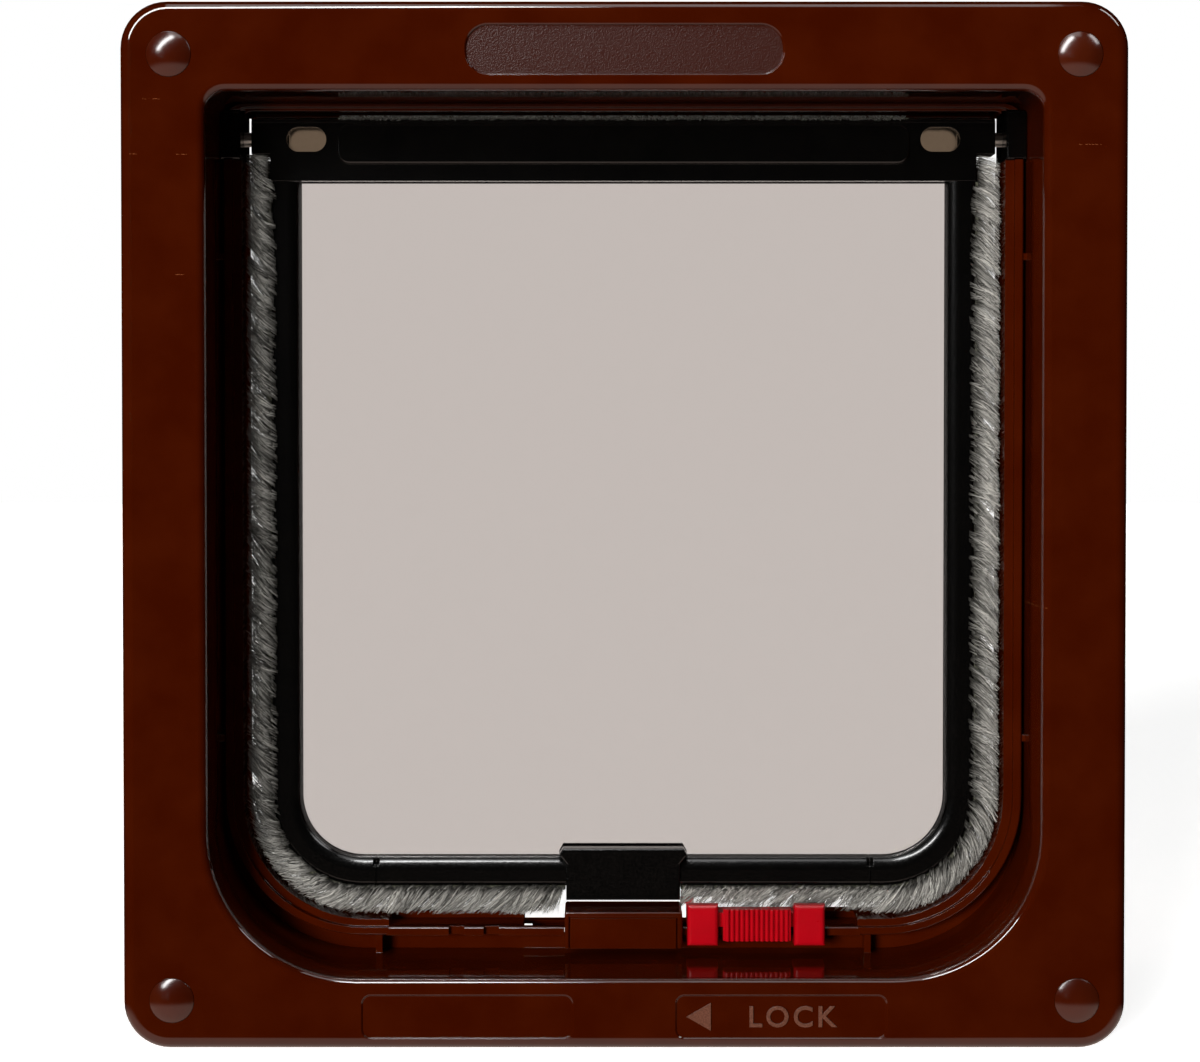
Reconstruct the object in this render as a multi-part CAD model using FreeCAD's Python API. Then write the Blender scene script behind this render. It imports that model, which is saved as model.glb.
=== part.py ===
import FreeCAD, Part
import os

# Cat flap for a door, assembled with its inner and outer frames a door's thickness apart.
# Millimetres. X to the right, Y from the room to the outside, Z up. Z is 0 where it stands.
# Depths are counted from the front face of the inner frame towards the outside.

# Frame outline
frame_width = 236.0
frame_height = 246.0
frame_corner = 11.0
frame_edge_round = 3.0
skin = 2.5
inner_flange_depth = 10.0
outer_flange_depth = 10.0
door_thickness = 38.0

# Recess mouth: borders of flat face round it, its corners and its rounded lip
side_border = 20.0
top_border = 21.1
bottom_border = 16.6
mouth_top_corner = 4.8
mouth_bottom_corner = 34.5
mouth_lip = 2.0
recess_depth = 20.0
recess_floor_rise = 1.6
liner_wall = 2.0
liner_overlap = 24.0
telescope_gap = 0.25
fuse_lap = 0.5
cut_past = 1.0

# Inner ring: a land, a step and the tunnel wall that the seal sweeps past
ring_side_gap = 1.0
gutter_height = 4.4
land_width_side = 2.1
land_width_bottom = 1.9
step_width_side = 2.1
step_width_bottom = 1.7
step_depth = 1.8
land_depth = 2.5
land_round = 0.7
ring_length = 16.0
ring_wall = 2.0
ring_corner = 33.5
web_depth = 6.0
web_thickness = 2.2
land_top_inset = 1.0
bridge_rib = 1.6
bridge_rib_past_sill = 2.3
bridge_rib_above_floor = 54.1
bridge_rib_below_ceiling = 37.1
ceiling_drop = 1.7
ceiling_relief = 0.7
ceiling_lip = 3.5

# Sill rail that the catch runs on
sill_half_length = 57.3
sill_height = 2.0
sill_length = 11.0
notch_width = 3.7
notch_depth = 1.3
notch_past_slot = 7.7
notch_pitch = 8.5
slot_width = 10.2
slot_length = 10.8
rail_width = 2.2
slot_sill_drop = 1.1
skirt_short = 1.9
skirt_drop = 1.4
skirt_wall = 1.2

# Caps, screws and bosses
screw_inset = 11.7
screw_inset_top = 12.7
screw_radius = 2.0
screw_clearance = 0.25
screw_head_radius = 3.8
screw_head_height = 2.5
screw_head_round = 1.0
screw_reach = 5.5
cap_radius = 5.3
cap_rise = 1.8
cap_skirt_wall = 0.7
cap_skirt_length = 3.2
cap_fit = 0.05
cap_rim = 0.3
pocket_radius = 4.75
pocket_depth = 6.5
boss_wall = 2.0
stiffener = 1.6
stiffener_pitch = 36.5
stiffener_end_gap = 12.0

# Bare plate and label pads in the front face
plate_width = 74.0
plate_height = 11.4
plate_top_gap = 5.8
plate_corner = 5.2
plate_recess = 0.6
pad_width = 49.2
pad_height = 9.9
pad_low_gap = 2.9
pad_offset_x = 36.9
pad_corner = 1.9
pad_recess = 0.4
pad_slope = 0.3

# Flap, hung in the tunnel
pivot_drop = 6.2
flap_side_gap = 6.6
flap_low_gap = 7.5
flap_thickness = 7.0
rim_width = 7.3
window_corner = 15.0
rim_round_inside = 3.3
rim_round_outside = 1.2
rim_joint_past_corner = 3.2
butt_gap = 0.2
joint_notch_width = 1.6
joint_notch_height = 2.4
joint_notch_depth = 1.6
panel_thickness = 2.0
panel_fit = 0.05
panel_grip = 3.0
panel_top_inset = 1.8
panel_top_corner = 0.6
bar_end_gap = 2.0
bar_top_gap = 1.4
bar_height = 15.2
bar_shoulder_drop = 8.6
bar_round = 1.2
bar_panel_inset = 16.35
bar_panel_drop = 11.1
bar_panel_rise = 0.8
bar_panel_round = 0.64
bar_panel_corner = 3.0
sight_width = 9.7
sight_height = 6.0
sight_inset = 8.8
sight_drop = 0.3
sight_flat = 0.1
pin_radius = 1.75
pin_chamfer = 0.3
pin_end_gap = 0.1
pin_fit = 0.02
pin_running_gap = 0.08
pin_in_bar = 7.0
pin_in_block = 3.6

# Seal of the flap
strip_thickness = 1.0
strip_width = 5.6
pile_width = 4.6
pile_gap = 0.3
pile_shoulder_gap = 0.4
top_strip_thickness = 0.4
top_strip_width = 3.6
top_pile_width = 3.4
top_pile_gap = 0.6

# Pivot blocks in the tunnel's corners
block_height = 11.8
block_front_gap = 0.6
block_back_gap = 1.0
block_round = 0.5
block_end_wall = 0.9
block_fit = 0.1

# Magnets, their housing and their cover
magnet_half = 11.0
magnet_height = 2.2
magnet_width = 6.2
magnet_floor = 0.8
magnet_fit = 0.1
magnet_seat = 0.05
magnet_air_gap = 1.65
housing_wall = 3.0
housing_below_rim = 3.3
housing_neck_drop = 1.8
housing_flare_rise = 0.4
housing_rise = 2.1
housing_flare = 1.8
housing_top_flare = 0.8
housing_thickness = 9.0
housing_round = 0.6
cover_overhang = 0.3
cover_drop = 2.7
cover_proud = 2.5
cover_length = 13.3
cover_wall = 1.1
cover_round = 0.6
cover_groove_depth = 0.6
cover_groove_width = 0.5
cover_groove_margin = 1.0
cover_fit = 0.15
sill_magnet_half = 10.0
sill_magnet_width = 8.0
sill_magnet_back_gap = 0.95

# Lock catch
catch_proud = 3.2
catch_stop_gap = 0.2
catch_block = 7.5
catch_gap_left = 1.2
catch_gap_right = 0.8
catch_grip = 16.4
catch_rise = 6.0
catch_drop = 2.0
grip_rise = 4.9
grip_drop = 0.8
grip_rib_pitch = 1.2
grip_rib_radius = 0.5
grip_rib_depth = 0.7
catch_web_rise = 3.7
catch_web_length = 6.0
catch_round = 1.1
slide_gap = 0.25
peg_gap = 0.3
peg_width = 1.8
peg_before_pivot = 1.8
peg_behind_pivot = 1.0
peg_reach = 1.4
peg_height = 2.7
peg_stem_rise = 1.9
peg_room = 0.4
lock_travel = 1.0
unlock_travel = 7.5

# Sizes that follow from those above
total_depth = inner_flange_depth + door_thickness + outer_flange_depth
front_y = -(total_depth - cap_rise) / 2
frame_half = frame_width / 2
frame_outline = (frame_half, 0.0, frame_height, frame_corner, frame_corner)
mouth = (frame_half - side_border, bottom_border, frame_height - top_border,
         mouth_bottom_corner, mouth_top_corner)
mouth_back = (mouth[0], mouth[1] + recess_floor_rise, mouth[2], mouth[3], mouth[4])
ring_low = mouth_back[1] + gutter_height
ring_back = recess_depth + ring_length
ring_outer = (mouth[0] - ring_side_gap, ring_low, mouth[2], ring_corner, mouth_top_corner)
land_inner = (ring_outer[0] - land_width_side, ring_low + land_width_bottom,
              mouth[2] - land_top_inset, ring_corner - land_width_bottom,
              mouth_top_corner - land_top_inset)
tunnel = (land_inner[0] - step_width_side, land_inner[1] + step_width_bottom,
          mouth[2] - ceiling_drop, land_inner[3] - step_width_bottom,
          land_inner[4] - land_top_inset)
sill_top = ring_low + sill_height
slot_front = recess_depth + rail_width
bridge_rib_x = sill_half_length + bridge_rib_past_sill
bridge_rib_heights = (mouth[1] + bridge_rib_above_floor, mouth[2] - bridge_rib_below_ceiling)
screw_x = frame_half - screw_inset
screw_places = [(side * screw_x, height)
                for height in (screw_inset, frame_height - screw_inset_top) for side in (-1, 1)]
pivot_depth = (recess_depth + ring_back) / 2
pivot_height = tunnel[2] - pivot_drop
flap_front = pivot_depth - flap_thickness / 2
flap_back = pivot_depth + flap_thickness / 2
flap_half_width = tunnel[0] - flap_side_gap
rim_low = tunnel[1] + flap_low_gap
window_half = flap_half_width - rim_width
window_low = rim_low + rim_width
rim_outer_corner = window_corner + rim_width
rim_joint_x = window_half - window_corner - rim_joint_past_corner
bar_half_width = tunnel[0] - bar_end_gap
bar_high = tunnel[2] - bar_top_gap
bar_low = bar_high - bar_height
bar_shoulder = bar_high - bar_shoulder_drop
bar_panel_half = flap_half_width - bar_panel_inset
bar_panel_low = bar_high - bar_panel_drop
sight_x = flap_half_width - sight_inset
pile_top_end = bar_shoulder - pile_shoulder_gap
block_inner_x = tunnel[0] + block_fit
block_low = tunnel[2] - block_height
housing_half = magnet_half + housing_wall
housing_low = rim_low - housing_below_rim
housing_high = window_low + housing_rise
cover_half = housing_half + cover_overhang
cover_low = ring_low - cover_drop
cover_high = housing_low - magnet_air_gap
cover_front = recess_depth - cover_proud
cover_back = cover_front + cover_length
slot_far_x = cover_half + slot_width
notch_places = [side * (slot_far_x + notch_past_slot + step * notch_pitch)
                for side in (-1, 1) for step in (0, 1)]
catch_left = cover_half + lock_travel + catch_stop_gap
catch_grip_left = catch_left + catch_block + catch_gap_left
catch_right_block = catch_grip_left + catch_grip + catch_gap_right
catch_right = catch_right_block + catch_block
catch_front = recess_depth - catch_proud
catch_high = sill_top + catch_rise
catch_low = ring_low - catch_drop
catch_web_back = recess_depth + catch_web_length
peg_left = housing_half + peg_gap
peg_stem_left = cover_half + peg_gap + lock_travel
peg_front = pivot_depth - peg_before_pivot
peg_back = pivot_depth + peg_behind_pivot
peg_high = housing_low + peg_reach


def at(x, depth, z):
    return FreeCAD.Vector(x, front_y + depth, z)


def box(x0, x1, d0, d1, z0, z1):
    return Part.makeBox(x1 - x0, d1 - d0, z1 - z0, at(x0, d0, z0))


def rod(x, z, radius, d0, d1):
    return Part.makeCylinder(radius, d1 - d0, at(x, d0, z), FreeCAD.Vector(0, 1, 0))


def grown(sizes, amount):
    half, low, high, low_corner, high_corner = sizes
    return (half + amount, low - amount, high + amount, low_corner + amount, high_corner + amount)


def corner_arc(cx, cz, radius, depth, quarter):
    # A quarter circle, counted anticlockwise from +X as seen from the room
    signs = ((1, 0), (0, 1), (-1, 0), (0, -1), (1, 0))
    first, last = signs[quarter], signs[quarter + 1]
    middle = ((first[0] + last[0]) * 0.5 ** 0.5, (first[1] + last[1]) * 0.5 ** 0.5)
    points = [at(cx + radius * u, depth, cz + radius * v) for u, v in (first, middle, last)]
    return Part.Arc(*points).toShape()


def outline(sizes, depth):
    # Closed wire of a rectangle about X 0 with its own radius for low and high corners
    half, low, high, low_corner, high_corner = sizes
    corners = [(half - high_corner, high - high_corner, high_corner),
               (high_corner - half, high - high_corner, high_corner),
               (low_corner - half, low + low_corner, low_corner),
               (half - low_corner, low + low_corner, low_corner)]
    arcs = [corner_arc(cx, cz, radius, depth, quarter)
            for quarter, (cx, cz, radius) in enumerate(corners)]
    edges = []
    for quarter, arc in enumerate(arcs):
        following = arcs[(quarter + 1) % 4]
        edges += [arc, Part.makeLine(arc.Vertexes[-1].Point, following.Vertexes[0].Point)]
    return Part.Wire(edges)


def slab(sizes, d0, d1):
    return Part.Face(outline(sizes, d0)).extrude(FreeCAD.Vector(0, d1 - d0, 0))


def pad(cx, cz, width, height, corner, d0, d1):
    shape = slab((width / 2, cz - height / 2, cz + height / 2, corner, corner), d0, d1)
    return shape.translated(FreeCAD.Vector(cx, 0, 0))


def prism(points, d0, d1):
    # Straight-sided outline in the X-Z plane, carried from one depth to the other
    corners = [at(x, d0, z) for x, z in points]
    return Part.Face(Part.makePolygon(corners + corners[:1])).extrude(FreeCAD.Vector(0, d1 - d0, 0))


def edges_at(shape, depth, inside=None):
    # Edges that lie at one depth, and inside an outline where one is given
    level = front_y + depth
    found = []
    for edge in shape.Edges:
        bounds = edge.BoundBox
        flat = abs(bounds.YMin - level) < 1e-4 and abs(bounds.YMax - level) < 1e-4
        held = inside is None or (max(abs(bounds.XMin), abs(bounds.XMax)) < inside[0] + 0.01
                                  and inside[1] - 0.01 < bounds.ZMin and bounds.ZMax < inside[2] + 0.01)
        if flat and held:
            found.append(edge)
    return found


def mirrored(shape):
    return shape.mirror(FreeCAD.Vector(0, 0, 0), FreeCAD.Vector(1, 0, 0))


def bosses(shape, radius, d0, d1):
    for x, z in screw_places:
        shape = shape.fuse(rod(x, z, radius, d0, d1))
    return shape


def spread(length):
    # Places about 0, one pitch apart, that leave a gap at both ends of a length
    count = int((length / 2 - stiffener_end_gap) / stiffener_pitch)
    return [number * stiffener_pitch for number in range(-count, count + 1)]


def stiffeners(liner, d0, d1):
    # Thin ribs between the flange's skirt and the liner, all round
    inner = grown(liner, -fuse_lap)
    half = frame_half - skin / 2
    thick = stiffener / 2
    ribs = []
    for x in spread(2 * mouth[0]):
        ribs.append(box(x - thick, x + thick, d0, d1, skin / 2, inner[1]))
        ribs.append(box(x - thick, x + thick, d0, d1, inner[2], frame_height - skin / 2))
    for height in spread(mouth[2] - mouth[1]):
        z = frame_height / 2 + height
        ribs.append(box(-half, -inner[0], d0, d1, z - thick, z + thick))
        ribs.append(box(inner[0], half, d0, d1, z - thick, z + thick))
    return ribs


def ring():
    # Land with rounded edges, step behind it, and the tunnel wall that runs on to the outside
    land = slab(ring_outer, recess_depth, recess_depth + land_depth)
    land = land.makeFillet(land_round, edges_at(land, recess_depth))
    walls = slab(grown(tunnel, ring_wall), recess_depth + land_round, ring_back)
    shape = land.fuse(walls)
    shape = shape.cut(slab(land_inner, recess_depth - cut_past, recess_depth + step_depth))
    return shape.cut(slab(tunnel, recess_depth - cut_past, ring_back + cut_past))


def sill():
    # Low rail across the middle of the ring's floor, with detent notches in its front edge
    half = sill_half_length + fuse_lap
    skirt = slot_far_x - skirt_short
    plate = box(-half, half, recess_depth, ring_back, ring_low, sill_top)
    plate = plate.fuse(box(-skirt, skirt, ring_back - skirt_wall, ring_back, ring_low - skirt_drop,
                           ring_low + fuse_lap))
    front_top = [edge for edge in edges_at(plate, recess_depth) if edge.BoundBox.ZMin > sill_top - 0.01]
    plate = plate.makeFillet(land_round, front_top)
    for x in notch_places:
        plate = plate.cut(box(x - notch_width / 2, x + notch_width / 2, recess_depth - cut_past,
                              recess_depth + notch_depth, ring_low - cut_past, sill_top + cut_past))
    return plate


def sill_cuts():
    # Slots beside the magnet cover, and the places of the cover's two side walls
    island = cover_half - cover_wall - cover_fit
    low = ring_low - cut_past
    high = tunnel[1] + cut_past
    cuts = []
    for side in (-1, 1):
        near, far = sorted((side * island, side * slot_far_x))
        cuts.append(box(near, far, slot_front, slot_front + slot_length, low, high))
        cuts.append(box(near, far, slot_front, ring_back + cut_past, sill_top - slot_sill_drop, high))
        near, far = sorted((side * island, side * (cover_half + cover_fit)))
        cuts.append(box(near, far, recess_depth - cut_past, slot_front + cut_past, low, high))
    return cuts


def sloped_pad(x, z, width, height, corner, depth):
    # Cutter for a shallow recess in the front face, with a slope round its rim
    floor = pad(x, z, width, height, corner, -cut_past, depth)
    mouth_pad = pad(x, z, width + 2 * pad_slope, height + 2 * pad_slope, corner + pad_slope, -cut_past,
                    pad_slope)
    slope = mouth_pad.makeChamfer(pad_slope - 0.01, edges_at(mouth_pad, pad_slope))
    return floor.fuse(slope)


def bridge_ribs(back):
    # Ribs that bridge the groove between the recess wall and the ring
    front = recess_depth + land_round
    thick = bridge_rib / 2
    ribs = []
    for side in (-1, 1):
        x = side * bridge_rib_x
        ribs.append(box(x - thick, x + thick, front, back, mouth_back[1] - fuse_lap, ring_low + fuse_lap))
        near, far = sorted((side * (ring_outer[0] - fuse_lap), side * (mouth[0] + fuse_lap)))
        ribs += [box(near, far, front, back, height - thick, height + thick)
                 for height in bridge_rib_heights]
    return ribs


def inner_frame():
    flange = slab(frame_outline, 0, inner_flange_depth)
    flange = flange.makeFillet(frame_edge_round, edges_at(flange, 0))
    flange = flange.cut(slab(grown(frame_outline, -skin), skin, inner_flange_depth + cut_past))
    flange = bosses(flange, pocket_radius + boss_wall, skin / 2, inner_flange_depth)
    liner = grown(mouth, liner_wall)
    shape = flange.fuse([slab(liner, skin / 2, ring_back)]
                        + stiffeners(liner, skin / 2, inner_flange_depth - skin))
    draft = Part.makeLoft([outline(mouth, skin), outline(mouth_back, recess_depth)], True, True)
    shape = shape.cut([slab(mouth, -cut_past, skin), draft,
                       slab(mouth_back, recess_depth, ring_back + cut_past)])
    shape = shape.makeFillet(mouth_lip, edges_at(shape, 0, mouth))
    web_front = recess_depth + web_depth
    web = slab(grown(mouth_back, fuse_lap), web_front, web_front + web_thickness)
    web = web.cut(slab(tunnel, web_front - cut_past, web_front + web_thickness + cut_past))
    parts = [ring(), web] + bridge_ribs(web_front + fuse_lap)
    shape = shape.fuse(parts)
    lowered = box(-sill_half_length, sill_half_length, recess_depth - cut_past,
                  recess_depth + sill_length, ring_low, tunnel[1] + cut_past)
    shape = shape.cut(lowered).fuse(sill()).cut(sill_cuts())
    shape = shape.cut(box(-bar_half_width, bar_half_width, recess_depth + ceiling_lip,
                          ring_back - ceiling_lip, tunnel[2] - cut_past, tunnel[2] + ceiling_relief))
    for side in (-1, 1):
        near, far = sorted((side * (tunnel[0] - cut_past), side * mouth[0]))
        shape = shape.cut(box(near, far, recess_depth - cut_past, ring_back + cut_past,
                              block_low - block_fit, block_low + block_height + block_fit))
    for x, z in screw_places:
        shape = shape.cut([rod(x, z, pocket_radius, -cut_past, pocket_depth),
                           rod(x, z, screw_radius + screw_clearance, -cut_past,
                               inner_flange_depth + cut_past)])
    plate_z = frame_height - plate_top_gap - plate_height / 2
    shape = shape.cut(sloped_pad(0, plate_z, plate_width, plate_height, plate_corner, plate_recess))
    for side in (-1, 1):
        shape = shape.cut(sloped_pad(side * pad_offset_x, pad_low_gap + pad_height / 2, pad_width,
                                     pad_height, pad_corner, pad_recess))
    return shape.removeSplitter()


def outer_frame():
    start = total_depth - outer_flange_depth
    flange = slab(frame_outline, start, total_depth)
    flange = flange.makeFillet(frame_edge_round, edges_at(flange, total_depth))
    flange = flange.cut(slab(grown(frame_outline, -skin), start - cut_past, total_depth - skin))
    flange = bosses(flange, screw_radius + boss_wall, start, total_depth - skin / 2)
    opening = grown(mouth, liner_wall + telescope_gap)
    liner = grown(opening, liner_wall)
    shape = flange.fuse([slab(liner, ring_back - liner_overlap, total_depth - skin / 2)]
                        + stiffeners(liner, start + skin, total_depth - skin / 2))
    shape = shape.cut(slab(opening, 0, total_depth + cut_past))
    shape = shape.makeFillet(mouth_lip, edges_at(shape, total_depth, opening))
    for x, z in screw_places:
        shape = shape.cut(rod(x, z, screw_radius + pin_fit, start - cut_past,
                              start + screw_reach + cut_past))
    return shape.removeSplitter()


def screw_cap(x, z):
    # Dome on the flange's face, with a skirt that presses into the screw's pocket
    sphere_radius = (cap_radius ** 2 + cap_rise ** 2) / (2 * cap_rise)
    dome = Part.makeSphere(sphere_radius, at(x, sphere_radius - cap_rise, z))
    dome = dome.common(rod(x, z, cap_radius + cut_past, -cap_rise - cut_past, 0))
    skirt_radius = pocket_radius - cap_fit
    skirt = rod(x, z, skirt_radius, -cap_rim, cap_skirt_length)
    hollow = rod(x, z, skirt_radius - cap_skirt_wall, 0, cap_skirt_length + cut_past)
    return dome.fuse(skirt).cut(hollow).removeSplitter()


def fixing_screws():
    screws = []
    for x, z in screw_places:
        head = rod(x, z, screw_head_radius, pocket_depth - screw_head_height, pocket_depth)
        head = head.makeFillet(screw_head_round, edges_at(head, pocket_depth - screw_head_height))
        shank = rod(x, z, screw_radius, pocket_depth - fuse_lap,
                    total_depth - outer_flange_depth + screw_reach)
        screws.append(head.fuse(shank).removeSplitter())
    return Part.makeCompound(screws)


def j_shape(half, low, corner, other_half, other_low, other_corner, top, end_x):
    # Strip between two J outlines on the left: down the side, round the corner, along the bottom
    depth = 0.0
    edges = []
    turns = ((half, low, corner), (other_half, other_low, other_corner))
    arcs = [corner_arc(radius - width, base + radius, radius, depth, 2)
            for width, base, radius in turns]
    for (width, base, radius), arc in zip(turns, arcs):
        edges.append(Part.makeLine(at(-width, depth, top), at(-width, depth, base + radius)))
        edges.append(arc)
        edges.append(Part.makeLine(at(radius - width, depth, base), at(end_x, depth, base)))
    edges.append(Part.makeLine(at(-half, depth, top), at(-other_half, depth, top)))
    edges.append(Part.makeLine(at(end_x, depth, low), at(end_x, depth, other_low)))
    return Part.Face(Part.Wire(Part.__sortEdges__(edges)))


def j_solid(sizes, other, top, end_x, d0, d1):
    face = j_shape(*sizes, *other, top, end_x)
    return face.translated(FreeCAD.Vector(0, d0, 0)).extrude(FreeCAD.Vector(0, d1 - d0, 0))


def panel_solid(extra):
    half = window_half + panel_grip + extra
    low = window_low - panel_grip - extra
    corner = window_corner + panel_grip + extra
    thickness = panel_thickness + 2 * extra
    return slab((half, low, bar_high - panel_top_inset + extra, corner, panel_top_corner),
                pivot_depth - thickness / 2, pivot_depth + thickness / 2)


def joint_notches():
    # Notches in both faces where the rim's pieces meet at the window
    low = window_low - joint_notch_height
    cuts = []
    for side in (-1, 1):
        x = side * rim_joint_x
        near = x - joint_notch_width / 2
        far = x + joint_notch_width / 2
        high = window_low + cut_past
        cuts.append(box(near, far, flap_front - cut_past, flap_front + joint_notch_depth, low, high))
        cuts.append(box(near, far, flap_back - joint_notch_depth, flap_back + cut_past, low, high))
    return cuts


def rim_edges(shape, by_window):
    # Long edges of the left rim on both faces, along the window or along the outside
    found = []
    for depth in (flap_front, flap_back):
        for edge in edges_at(shape, depth):
            bounds = edge.BoundBox
            inner = bounds.XMin > -window_half - 0.01 and bounds.ZMin > window_low - 0.01
            at_end = bounds.ZMin > bar_low - 2 * butt_gap or bounds.XMin > -rim_joint_x - butt_gap
            if inner == by_window and not at_end:
                found.append(edge)
    return found


def rim_left():
    outer = (flap_half_width, rim_low, rim_outer_corner)
    inner = (window_half, window_low, window_corner)
    shape = j_solid(outer, inner, bar_low - butt_gap, -rim_joint_x - butt_gap / 2, flap_front, flap_back)
    shape = shape.makeFillet(rim_round_outside, rim_edges(shape, False))
    shape = shape.makeFillet(rim_round_inside, rim_edges(shape, True))
    return shape.cut([panel_solid(panel_fit)] + joint_notches())


def rim_bottom():
    shape = box(-rim_joint_x + butt_gap / 2, rim_joint_x - butt_gap / 2, flap_front, flap_back,
                rim_low, window_low)
    long_edges = [edge for edge in shape.Edges if edge.BoundBox.XLength > rim_joint_x]
    upper = [edge for edge in long_edges if edge.BoundBox.ZMin > window_low - 0.01]
    shape = shape.makeFillet(rim_round_inside, upper)
    lower = [edge for edge in shape.Edges if edge.BoundBox.XLength > rim_joint_x
             and edge.BoundBox.ZMax < rim_low + 0.01]
    shape = shape.makeFillet(rim_round_outside, lower)
    return shape.cut([panel_solid(panel_fit)] + joint_notches())


def hinge_bar():
    points = [(-bar_half_width, bar_high), (bar_half_width, bar_high), (bar_half_width, bar_shoulder),
              (flap_half_width, bar_shoulder), (flap_half_width, bar_low), (-flap_half_width, bar_low),
              (-flap_half_width, bar_shoulder), (-bar_half_width, bar_shoulder)]
    shape = prism(points, flap_front, flap_back)
    top_edges = [edge for edge in shape.Edges if edge.BoundBox.XLength > bar_half_width
                 and edge.BoundBox.ZMin > bar_high - 0.01]
    shape = shape.makeFillet(bar_round, top_edges)
    height = bar_high - bar_round - bar_panel_low
    middle = bar_panel_low + height / 2
    raised = pad(0, middle, 2 * bar_panel_half, height, bar_panel_corner,
                 flap_front - bar_panel_rise, flap_back + bar_panel_rise)
    edges = edges_at(raised, flap_front - bar_panel_rise) + edges_at(raised, flap_back + bar_panel_rise)
    raised = raised.makeFillet(bar_panel_round, edges)
    shape = shape.fuse(raised)
    sight_corner = (sight_height - sight_flat) / 2
    for side in (-1, 1):
        shape = shape.cut(pad(side * sight_x, pivot_height - sight_drop, sight_width, sight_height,
                              sight_corner, flap_front - cut_past, flap_back + cut_past))
        shape = shape.cut(Part.makeCylinder(pin_radius + pin_fit, pin_in_bar,
                                            at(side * bar_half_width, pivot_depth, pivot_height),
                                            FreeCAD.Vector(-side, 0, 0)))
    return shape.cut(panel_solid(panel_fit)).removeSplitter()


def hinge_pin():
    length = pin_in_bar + (block_inner_x - bar_half_width) + pin_in_block
    start = at(-bar_half_width + pin_in_bar - pin_end_gap, pivot_depth, pivot_height)
    pin = Part.makeCylinder(pin_radius, length, start, FreeCAD.Vector(-1, 0, 0))
    return pin.makeChamfer(pin_chamfer, [edge for edge in pin.Edges if edge.BoundBox.XLength < 0.01])


def pivot_block():
    end_x = -mouth[0] + block_fit
    block_front = recess_depth + block_front_gap
    shape = box(end_x, -block_inner_x, block_front, ring_back - block_back_gap,
                block_low, block_low + block_height)
    shape = shape.makeFillet(block_round, edges_at(shape, block_front))
    hole = Part.makeCylinder(pin_radius + pin_running_gap, mouth[0],
                             at(end_x + block_end_wall, pivot_depth, pivot_height),
                             FreeCAD.Vector(1, 0, 0))
    return shape.cut(hole)


def seal_strip(end_x):
    outer = (flap_half_width + strip_thickness, rim_low - strip_thickness,
             rim_outer_corner + strip_thickness)
    inner = (flap_half_width, rim_low, rim_outer_corner)
    return j_solid(outer, inner, bar_low - butt_gap, end_x, pivot_depth - strip_width / 2,
                   pivot_depth + strip_width / 2)


def pile(end_x):
    outer = (tunnel[0] - pile_gap, tunnel[1] + pile_gap, tunnel[3])
    inner = (flap_half_width + strip_thickness, rim_low - strip_thickness,
             rim_outer_corner + strip_thickness)
    return j_solid(outer, inner, pile_top_end, end_x, pivot_depth - pile_width / 2,
                   pivot_depth + pile_width / 2)


def housing_half_shell():
    # Front half of the magnet housing: it straddles the rim and leaves a socket for the catch
    front = pivot_depth - housing_thickness / 2
    right = [(housing_half, housing_low), (housing_half, window_low - housing_neck_drop),
             (housing_half + housing_flare, window_low + housing_flare_rise),
             (housing_half + housing_top_flare, housing_high)]
    points = right + [(-x, z) for x, z in reversed(right)]
    shape = prism(points, front, pivot_depth)
    shape = shape.makeFillet(housing_round, edges_at(shape, front))
    back = pivot_depth + cut_past
    channel = box(-frame_half, frame_half, flap_front - panel_fit, back,
                  rim_low - panel_fit, window_low + panel_fit)
    slit = box(-frame_half, frame_half, pivot_depth - panel_thickness / 2 - panel_fit, back,
               window_low, housing_high + cut_past)
    pocket = box(-magnet_half - magnet_fit, magnet_half + magnet_fit,
                 pivot_depth - magnet_width / 2 - magnet_fit, back,
                 housing_low + magnet_floor, rim_low)
    return shape.cut([channel, slit, pocket])


def catch_socket():
    return box(peg_left - lock_travel - peg_room, housing_half + cut_past, peg_front - peg_room,
               peg_back + peg_room, housing_low - cut_past, peg_high + peg_room)


def housing_front():
    return housing_half_shell().cut(catch_socket())


def housing_back():
    middle = FreeCAD.Vector(0, front_y + pivot_depth, 0)
    return housing_half_shell().mirror(middle, FreeCAD.Vector(0, 1, 0)).cut(catch_socket())


def magnet_cover():
    shape = box(-cover_half, cover_half, cover_front, cover_back, cover_low, cover_high)
    upper = [edge for edge in shape.Edges if edge.BoundBox.ZMax > cover_high - 0.01
             or edge.BoundBox.YMax < front_y + cover_front + 0.01]
    shape = shape.makeFillet(cover_round, [edge for edge in upper
                                           if edge.BoundBox.ZMin > cover_low + 0.01
                                           or edge.BoundBox.ZLength > 1])
    inner = cover_half - cover_wall
    shape = shape.cut(box(-inner, inner, cover_front + cover_wall, cover_back - cover_wall,
                          cover_low - cut_past, cover_high - cover_wall))
    shape = shape.cut(box(-inner, inner, cover_back - cover_wall - cut_past, cover_back + cut_past,
                          cover_low - cut_past, sill_top + cover_fit))
    web_front = recess_depth + web_depth - cover_fit
    shape = shape.cut(box(-cover_half - cut_past, cover_half + cut_past, web_front,
                          cover_back + cut_past, cover_low - cut_past, ring_low + cover_fit))
    outer = cover_half - cover_groove_margin
    middle = outer - cover_groove_width
    top = cover_high - cover_groove_margin
    groove = box(-outer, outer, cover_front - cut_past, cover_front + cover_groove_depth, cover_low - cut_past,
                 top)
    island = box(-middle, middle, cover_front - cut_past, cover_front + cover_groove_depth,
                 cover_low - cut_past, top - cover_groove_width)
    return shape.cut(groove.cut(island))


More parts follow.
